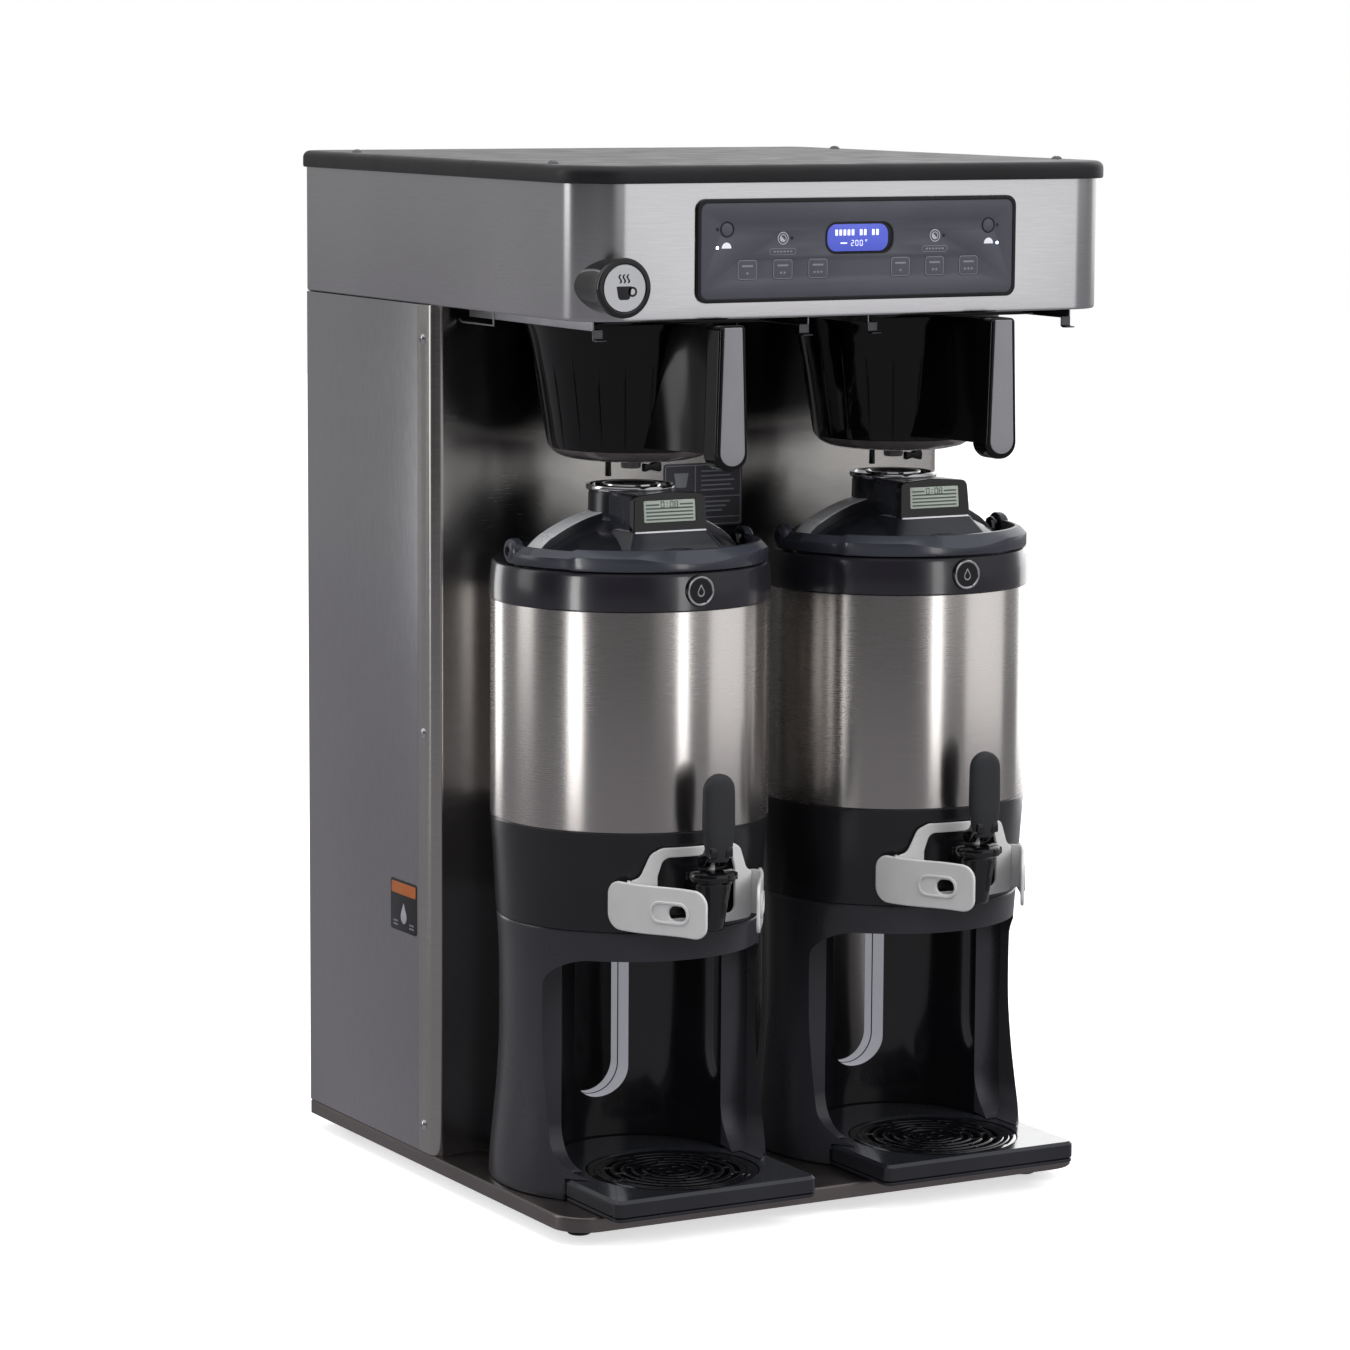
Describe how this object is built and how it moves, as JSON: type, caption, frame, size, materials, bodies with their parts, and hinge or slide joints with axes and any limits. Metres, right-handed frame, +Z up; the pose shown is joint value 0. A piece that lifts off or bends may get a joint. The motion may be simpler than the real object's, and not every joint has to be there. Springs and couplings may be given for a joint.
{
  "type": "commercial coffee brewer",
  "caption": "Tall twin coffee brewer: stainless cabinet and hood over pull-out brew funnels and insulated servers with pull faucets and drip trays.",
  "frame": {"origin": "bottom centre of the overall box, on the counter plane under the middle of the cabinet", "axes": "+Z up; the front, with the control panel and faucets, faces -Y; +X is to the right seen from the front"},
  "size_m": [0.532, 0.5936, 0.9056],
  "materials": {
    "base_steel": "satin",
    "panel_steel": "satin",
    "splash_steel": "brushed",
    "hood_steel": "brushed",
    "inner_steel": "satin",
    "lid_black": "textured",
    "screw_steel": "polished",
    "panel_black": "satin",
    "display_blue": "backlit",
    "board_green": "solder mask",
    "badge_black": "satin",
    "spray_plastic": "moulded",
    "tank_steel": "satin",
    "heater_steel": "satin",
    "valve_brass": "cast",
    "silicone": "matt",
    "foot_rubber": "matt",
    "key_grey": "satin",
    "funnel_black": "gloss",
    "stand_black": "satin",
    "skirt_black": "satin",
    "server_steel": "brushed",
    "gloss_black": "gloss",
    "guard_white": "translucent",
    "lid_grey_black": "gloss",
    "bail_grey": "semi-gloss",
    "lever_grey": "matt"
  },
  "bodies": {
    "cabinet": {"base_pan": "base_steel", "left_side_panel": "panel_steel", "right_side_panel": "panel_steel", "rear_panel": "panel_steel", "splash_panel": "splash_steel", "hood_shell": "hood_steel", "hood_floor": "inner_steel", "top_lid": "lid_black", "cabinet_screws": "screw_steel", "control_panel": "panel_black", "display_window": "display_blue", "control_board": "board_green", "corner_badge": "badge_black", "funnel_rails": "inner_steel", "spray_heads": "spray_plastic", "water_tank": "tank_steel", "tank_heater": "heater_steel", "solenoid_valves": "valve_brass", "water_tubes": "silicone"},
    "feet": {"leveling_feet": "foot_rubber"},
    "left_brew_key_a": {"left_brew_key_a": "key_grey"},
    "left_brew_key_b": {"left_brew_key_b": "key_grey"},
    "left_brew_key_c": {"left_brew_key_c": "key_grey"},
    "left_half_batch_key": {"left_half_batch_key": "key_grey"},
    "left_power_key": {"left_power_key": "key_grey"},
    "right_brew_key_a": {"right_brew_key_a": "key_grey"},
    "right_brew_key_b": {"right_brew_key_b": "key_grey"},
    "right_brew_key_c": {"right_brew_key_c": "key_grey"},
    "right_half_batch_key": {"right_half_batch_key": "key_grey"},
    "right_power_key": {"right_power_key": "key_grey"},
    "left_funnel": {"left_funnel": "funnel_black", "left_filter_basket": "inner_steel"},
    "right_funnel": {"right_funnel": "funnel_black", "right_filter_basket": "inner_steel"},
    "left_server": {"left_stand": "stand_black", "left_skirt": "skirt_black", "left_shell": "server_steel", "left_liner": "tank_steel", "left_collar": "gloss_black", "left_faucet_body": "gloss_black", "left_faucet_guard": "guard_white"},
    "left_lid": {"left_lid": "lid_grey_black"},
    "left_bail_handle": {"left_bail_handle": "bail_grey"},
    "left_faucet_handle": {"left_faucet_handle": "lever_grey"},
    "left_faucet_stem": {"left_faucet_stem": "silicone"},
    "left_drip_tray": {"left_drip_tray": "gloss_black"},
    "left_drip_grate": {"left_drip_grate": "gloss_black"},
    "right_server": {"right_stand": "stand_black", "right_skirt": "skirt_black", "right_shell": "server_steel", "right_liner": "tank_steel", "right_collar": "gloss_black", "right_faucet_body": "gloss_black", "right_faucet_guard": "guard_white"},
    "right_lid": {"right_lid": "lid_grey_black"},
    "right_bail_handle": {"right_bail_handle": "bail_grey"},
    "right_faucet_handle": {"right_faucet_handle": "lever_grey"},
    "right_faucet_stem": {"right_faucet_stem": "silicone"},
    "right_drip_tray": {"right_drip_tray": "gloss_black"},
    "right_drip_grate": {"right_drip_grate": "gloss_black"}
  },
  "joints": [
    {"name": "feet_level", "type": "slide", "parent": "cabinet", "child": "feet", "axis": [0, 0, -1], "range_m": [0, 0.008]},
    {"name": "left_brew_key_a_press", "type": "slide", "parent": "cabinet", "child": "left_brew_key_a", "axis": [0, 1, 0], "range_m": [0, 0.0004], "stiffness_N_per_m": 2000},
    {"name": "left_brew_key_b_press", "type": "slide", "parent": "cabinet", "child": "left_brew_key_b", "axis": [0, 1, 0], "range_m": [0, 0.0004], "stiffness_N_per_m": 2000},
    {"name": "left_brew_key_c_press", "type": "slide", "parent": "cabinet", "child": "left_brew_key_c", "axis": [0, 1, 0], "range_m": [0, 0.0004], "stiffness_N_per_m": 2000},
    {"name": "left_half_batch_key_press", "type": "slide", "parent": "cabinet", "child": "left_half_batch_key", "axis": [0, 1, 0], "range_m": [0, 0.0004], "stiffness_N_per_m": 2000},
    {"name": "left_power_key_press", "type": "slide", "parent": "cabinet", "child": "left_power_key", "axis": [0, 1, 0], "range_m": [0, 0.0004], "stiffness_N_per_m": 2000},
    {"name": "right_brew_key_a_press", "type": "slide", "parent": "cabinet", "child": "right_brew_key_a", "axis": [0, 1, 0], "range_m": [0, 0.0004], "stiffness_N_per_m": 2000},
    {"name": "right_brew_key_b_press", "type": "slide", "parent": "cabinet", "child": "right_brew_key_b", "axis": [0, 1, 0], "range_m": [0, 0.0004], "stiffness_N_per_m": 2000},
    {"name": "right_brew_key_c_press", "type": "slide", "parent": "cabinet", "child": "right_brew_key_c", "axis": [0, 1, 0], "range_m": [0, 0.0004], "stiffness_N_per_m": 2000},
    {"name": "right_half_batch_key_press", "type": "slide", "parent": "cabinet", "child": "right_half_batch_key", "axis": [0, 1, 0], "range_m": [0, 0.0004], "stiffness_N_per_m": 2000},
    {"name": "right_power_key_press", "type": "slide", "parent": "cabinet", "child": "right_power_key", "axis": [0, 1, 0], "range_m": [0, 0.0004], "stiffness_N_per_m": 2000},
    {"name": "left_funnel_slide", "type": "slide", "parent": "cabinet", "child": "left_funnel", "axis": [0, -1, 0], "range_m": [0, 0.22]},
    {"name": "right_funnel_slide", "type": "slide", "parent": "cabinet", "child": "right_funnel", "axis": [0, -1, 0], "range_m": [0, 0.22]},
    {"name": "left_server_slide", "type": "slide", "parent": "cabinet", "child": "left_server", "axis": [0, -1, 0], "range_m": [0, 0.3]},
    {"name": "left_lid_turn", "type": "hinge", "parent": "left_server", "child": "left_lid", "pos_m": [-0.1325, -0.115, 0.563], "axis": [0, 0, 1], "range_deg": [0, 45]},
    {"name": "left_bail_swing", "type": "hinge", "parent": "left_server", "child": "left_bail_handle", "pos_m": [-0.1325, -0.115, 0.575], "axis": [-1, 0, 0], "range_deg": [0, 35]},
    {"name": "left_faucet_pull", "type": "hinge", "parent": "left_server", "child": "left_faucet_handle", "pos_m": [-0.1325, -0.258, 0.322], "axis": [1, 0, 0], "range_deg": [0, 30], "stiffness_Nm_per_rad": 1},
    {"name": "left_stem_lift", "type": "slide", "parent": "left_server", "child": "left_faucet_stem", "axis": [0, 0, 1], "range_m": [0, 0.004]},
    {"name": "left_tray_slide", "type": "slide", "parent": "left_server", "child": "left_drip_tray", "axis": [0, -1, 0], "range_m": [0, 0.1]},
    {"name": "left_grate_lift", "type": "slide", "parent": "left_drip_tray", "child": "left_drip_grate", "axis": [0, 0, 1], "range_m": [0, 0.035]},
    {"name": "right_server_slide", "type": "slide", "parent": "cabinet", "child": "right_server", "axis": [0, -1, 0], "range_m": [0, 0.3]},
    {"name": "right_lid_turn", "type": "hinge", "parent": "right_server", "child": "right_lid", "pos_m": [0.1325, -0.115, 0.563], "axis": [0, 0, 1], "range_deg": [0, 45]},
    {"name": "right_bail_swing", "type": "hinge", "parent": "right_server", "child": "right_bail_handle", "pos_m": [0.1325, -0.115, 0.575], "axis": [-1, 0, 0], "range_deg": [0, 35]},
    {"name": "right_faucet_pull", "type": "hinge", "parent": "right_server", "child": "right_faucet_handle", "pos_m": [0.1325, -0.258, 0.322], "axis": [1, 0, 0], "range_deg": [0, 30], "stiffness_Nm_per_rad": 1},
    {"name": "right_stem_lift", "type": "slide", "parent": "right_server", "child": "right_faucet_stem", "axis": [0, 0, 1], "range_m": [0, 0.004]},
    {"name": "right_tray_slide", "type": "slide", "parent": "right_server", "child": "right_drip_tray", "axis": [0, -1, 0], "range_m": [0, 0.1]},
    {"name": "right_grate_lift", "type": "slide", "parent": "right_drip_tray", "child": "right_drip_grate", "axis": [0, 0, 1], "range_m": [0, 0.035]}
  ],
  "couplings": [
    {"joint": "left_stem_lift", "follows": "left_faucet_pull", "m_per_rad": 0.0076},
    {"joint": "right_stem_lift", "follows": "right_faucet_pull", "m_per_rad": 0.0076}
  ]
}
